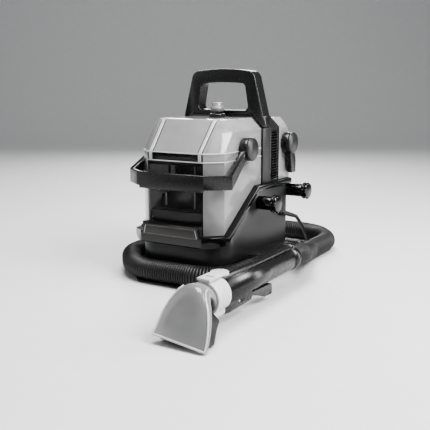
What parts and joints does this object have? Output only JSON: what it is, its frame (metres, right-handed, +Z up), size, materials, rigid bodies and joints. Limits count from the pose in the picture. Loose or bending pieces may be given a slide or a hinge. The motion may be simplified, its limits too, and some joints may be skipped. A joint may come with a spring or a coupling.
{
  "type": "spot extractor",
  "caption": "Portable spot extractor: clear recovery and water tanks with lifting bails, carry handle, cord hooks, corrugated hose and a hand tool with trigger and clear nozzle",
  "frame": {"origin": "on the floor, on the plane of symmetry of the machine, under the carry handle, at the centre of the middle foot", "axes": "+X to the machine's right, where the hand tool lies; +Y to the back of the machine, along the hand tool; +Z up"},
  "size_m": [0.3898, 0.701, 0.358],
  "materials": {
    "charcoal": "satin",
    "gloss_black": "gloss",
    "satin_grey": "satin",
    "hub_grey": "gloss",
    "name_panel": "gloss",
    "smoke_clear": "gloss",
    "button_clear": "gloss",
    "frost_clear": "satin",
    "milky_white": "satin",
    "seal_black": "matte",
    "tank_dark": "satin",
    "float_white": "satin",
    "spring_steel": "satin",
    "hose_rubber": "matte",
    "cord_rubber": "matte",
    "motor_metal": "satin",
    "fan_metal": "satin",
    "pump_plastic": "satin",
    "pipe_clear": "satin",
    "board_green": "satin"
  },
  "bodies": {
    "machine": {"base_tray": "charcoal", "rubber_feet": "seal_black", "lower_casing": "charcoal", "floor_pan": "charcoal", "trim_collar": "gloss_black", "nameplate": "name_panel", "spine_casing": "charcoal", "spine_louvres": "satin_grey", "carry_handle": "satin_grey", "hook_posts": "gloss_black", "hose_port": "charcoal", "hose_cuff": "gloss_black", "hose": "hose_rubber", "cord_boot": "seal_black", "power_cord": "cord_rubber", "cord_plug": "cord_rubber", "fan_casing": "charcoal", "vacuum_motor": "motor_metal", "motor_bearings": "motor_metal", "motor_seal": "seal_black", "water_pump": "pump_plastic", "pump_pipe": "pipe_clear", "circuit_board": "board_green", "grip_tube": "satin_grey", "grip_strip": "satin_grey", "grip_end_cap": "satin_grey", "trigger_pin": "spring_steel", "spray_valve": "pump_plastic"},
    "recovery_tank": {"front_tank": "smoke_clear", "front_lid": "smoke_clear", "front_seal": "seal_black", "front_pivots": "satin_grey", "separator_tower": "tank_dark", "float_cage": "tank_dark", "button_ring": "satin_grey", "button_spring": "spring_steel"},
    "float": {"float_ball": "float_white"},
    "button": {"release_button": "button_clear"},
    "front_bail": {"front_bail": "satin_grey", "front_hub_caps": "hub_grey"},
    "water_tank": {"rear_tank": "smoke_clear", "rear_lid": "smoke_clear", "rear_seal": "seal_black", "rear_pivots": "satin_grey", "valve_bridge": "tank_dark", "valve_spring": "spring_steel"},
    "fill_cap": {"fill_cap": "tank_dark"},
    "valve": {"valve_plunger": "pump_plastic"},
    "rear_bail": {"rear_bail": "satin_grey", "rear_hub_caps": "hub_grey"},
    "front_knob": {"front_hook_knob": "gloss_black"},
    "rear_knob": {"rear_hook_knob": "gloss_black"},
    "fan": {"fan_rotor": "fan_metal"},
    "trigger": {"trigger": "satin_grey"},
    "nozzle": {"tool_collar": "milky_white", "fan_nozzle": "frost_clear", "nozzle_shroud": "charcoal"},
    "latch": {"tool_latch": "milky_white"}
  },
  "joints": [
    {"name": "recovery_tank_lift", "type": "slide", "parent": "machine", "child": "recovery_tank", "axis": [0, 0, 1], "range_m": [0, 0.12]},
    {"name": "water_tank_lift", "type": "slide", "parent": "machine", "child": "water_tank", "axis": [0, 0, 1], "range_m": [0, 0.12]},
    {"name": "front_bail_hinge", "type": "hinge", "parent": "recovery_tank", "child": "front_bail", "pos_m": [0, -0.076, 0.223], "axis": [-1, 0, 0], "range_deg": [0, 100]},
    {"name": "rear_bail_hinge", "type": "hinge", "parent": "water_tank", "child": "rear_bail", "pos_m": [0, 0.084, 0.223], "axis": [1, 0, 0], "range_deg": [0, 120]},
    {"name": "trigger_hinge", "type": "hinge", "parent": "machine", "child": "trigger", "pos_m": [0.178, -0.281, 0.028], "axis": [1, 0, 0], "range_deg": [0, 3]},
    {"name": "button_press", "type": "slide", "parent": "recovery_tank", "child": "button", "axis": [0, 0, -1], "range_m": [0, 0.0035], "deforming": ["button_spring"]},
    {"name": "float_rise", "type": "slide", "parent": "recovery_tank", "child": "float", "axis": [0, 0, 1], "range_m": [0, 0.016]},
    {"name": "fill_cap_turn", "type": "hinge", "parent": "water_tank", "child": "fill_cap", "pos_m": [0, 0.082, 0.27], "axis": [0, 0, 1], "range_deg": [0, 90]},
    {"name": "valve_lift", "type": "slide", "parent": "water_tank", "child": "valve", "axis": [0, 0, 1], "range_m": [0, 0.004], "deforming": ["valve_spring"]},
    {"name": "front_knob_turn", "type": "hinge", "parent": "machine", "child": "front_knob", "pos_m": [0.113, -0.029, 0.125], "axis": [1, 0, 0], "range_deg": [0, 180]},
    {"name": "rear_knob_turn", "type": "hinge", "parent": "machine", "child": "rear_knob", "pos_m": [0.113, 0.099, 0.132], "axis": [1, 0, 0], "range_deg": [0, 180]},
    {"name": "fan_spin", "type": "hinge", "parent": "machine", "child": "fan", "pos_m": [0, 0.045, 0.045], "axis": [0, 0, 1], "continuous": true},
    {"name": "nozzle_pull", "type": "slide", "parent": "machine", "child": "nozzle", "axis": [0, -1, 0], "range_m": [0, 0.05]},
    {"name": "latch_press", "type": "slide", "parent": "nozzle", "child": "latch", "axis": [0, 0, 1], "range_m": [0, 0.002]}
  ]
}
